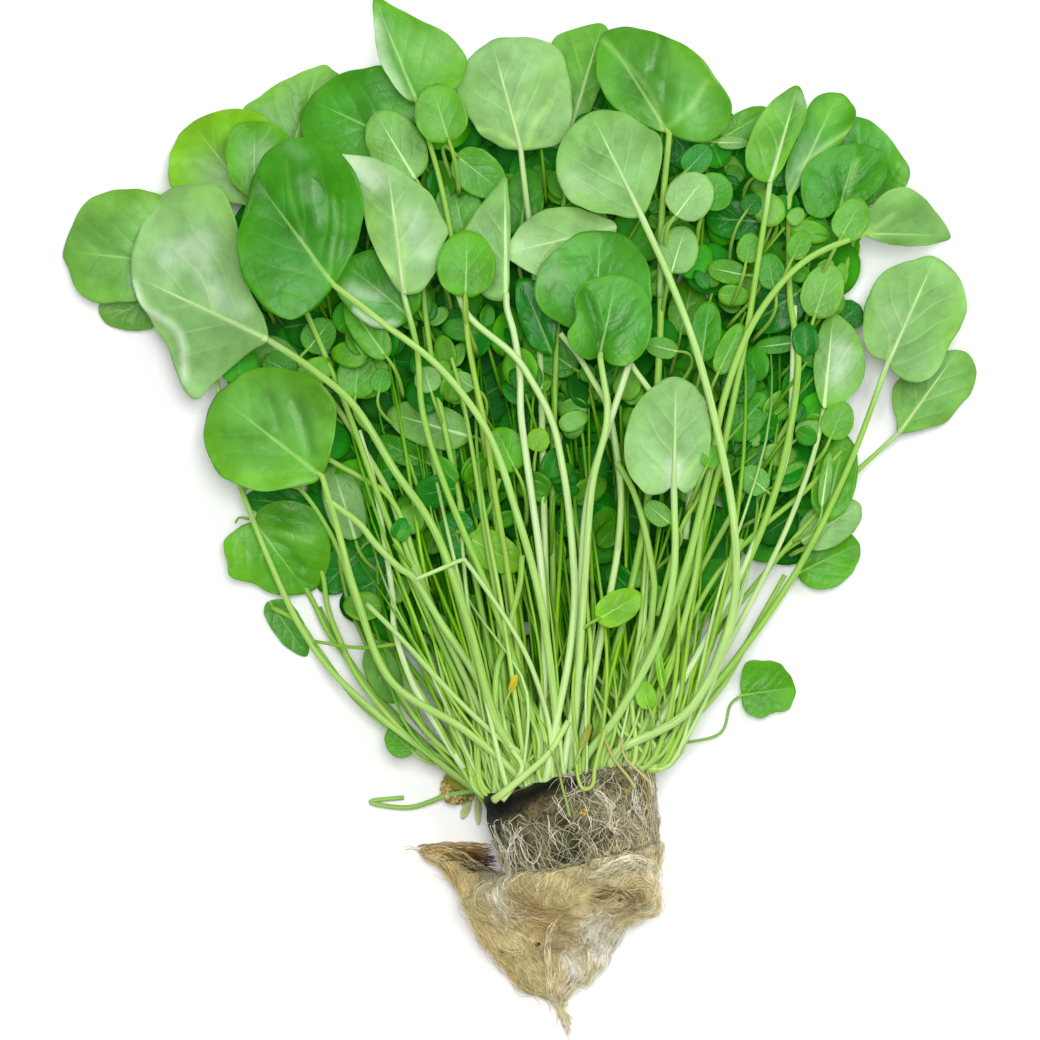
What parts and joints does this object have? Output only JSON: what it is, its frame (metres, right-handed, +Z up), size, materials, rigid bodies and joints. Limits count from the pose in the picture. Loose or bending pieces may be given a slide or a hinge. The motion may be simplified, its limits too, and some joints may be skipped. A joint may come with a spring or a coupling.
{
  "type": "watercress bunch",
  "caption": "Bunch of living watercress lying on its side: round leaves on fanned pale stems that grow from a fibrous plug with a felted root mat and a thin root tail.",
  "frame": {"origin": "centre of the bunch's outline in plan, on the surface that it lies on", "axes": "+Z up out of the surface, +Y from the roots along the stems to the leaf tips, +X to the right of that seen from above"},
  "size_m": [0.2281, 0.2591, 0.0404],
  "materials": {
    "leaf_upper": "glossy dark green upper side of a leaf",
    "leaf_underside": "satin pale green underside of a leaf with raised veins",
    "leaf_young": "bright yellow-green young leaf",
    "stem": "translucent pale green stem, whiter towards the plug",
    "small_stems": "mass of thin green stems",
    "small_leaves": "mass of small dark green leaves",
    "plug": "dark fibrous growing plug covered with white root hairs",
    "roots": "tan felt of matted roots and fibre"
  },
  "bodies": {
    "root": {"leaf_left_low": "leaf_upper", "leaf_left_under": "leaf_upper", "leaf_left_pale": "leaf_underside", "leaf_left_dark": "leaf_upper", "leaf_upper_left_bright": "leaf_young", "leaf_upper_left_small": "leaf_young", "leaf_top_left_pale": "leaf_young", "leaf_top_left_dark": "leaf_upper", "leaf_top_folded": "leaf_young", "leaf_centre_left_pale": "leaf_underside", "leaf_top_centre_pale": "leaf_underside", "leaf_top_centre_back": "leaf_underside", "leaf_top_right_round": "leaf_upper", "leaf_centre_right_pale": "leaf_underside", "leaf_right_narrow": "leaf_underside", "leaf_right_bright": "leaf_young", "leaf_right_back": "leaf_upper", "leaf_right_dark": "leaf_upper", "leaf_right_tip": "leaf_young", "leaf_centre_back": "leaf_underside", "leaf_centre_dark": "leaf_upper", "leaf_centre_round": "leaf_upper", "leaf_far_right": "leaf_underside", "leaf_far_right_low": "leaf_underside", "leaf_right_upright": "leaf_underside", "leaf_front_centre": "leaf_underside", "leaf_left_broad": "leaf_upper", "leaf_left_lower": "leaf_upper", "leaf_left_hanging": "leaf_upper", "leaf_stray": "leaf_upper", "leaf_right_lower": "leaf_upper", "stem_left_low": "stem", "stem_left_pale": "stem", "stem_left_dark": "stem", "stem_upper_left": "stem", "stem_top_left_dark": "stem", "stem_top_folded": "stem", "stem_centre_left_pale": "stem", "stem_top_centre_pale": "stem", "stem_top_centre_back": "stem", "stem_top_right_round": "stem", "stem_centre_right_pale": "stem", "stem_right_narrow": "stem", "stem_right_bright": "stem", "stem_right_back": "stem", "stem_right_tip": "stem", "stem_centre_dark": "stem", "stem_centre_round": "stem", "stem_far_right": "stem", "stem_far_right_low": "stem", "stem_front_centre": "stem", "stem_left_broad": "stem", "stem_left_lower": "stem", "stem_stray": "stem", "stem_right_lower": "stem", "stem_bent": "stem", "small_stems": "small_stems", "small_leaves": "small_leaves", "growing_plug": "plug", "root_mat": "roots"}
  },
  "joints": []
}
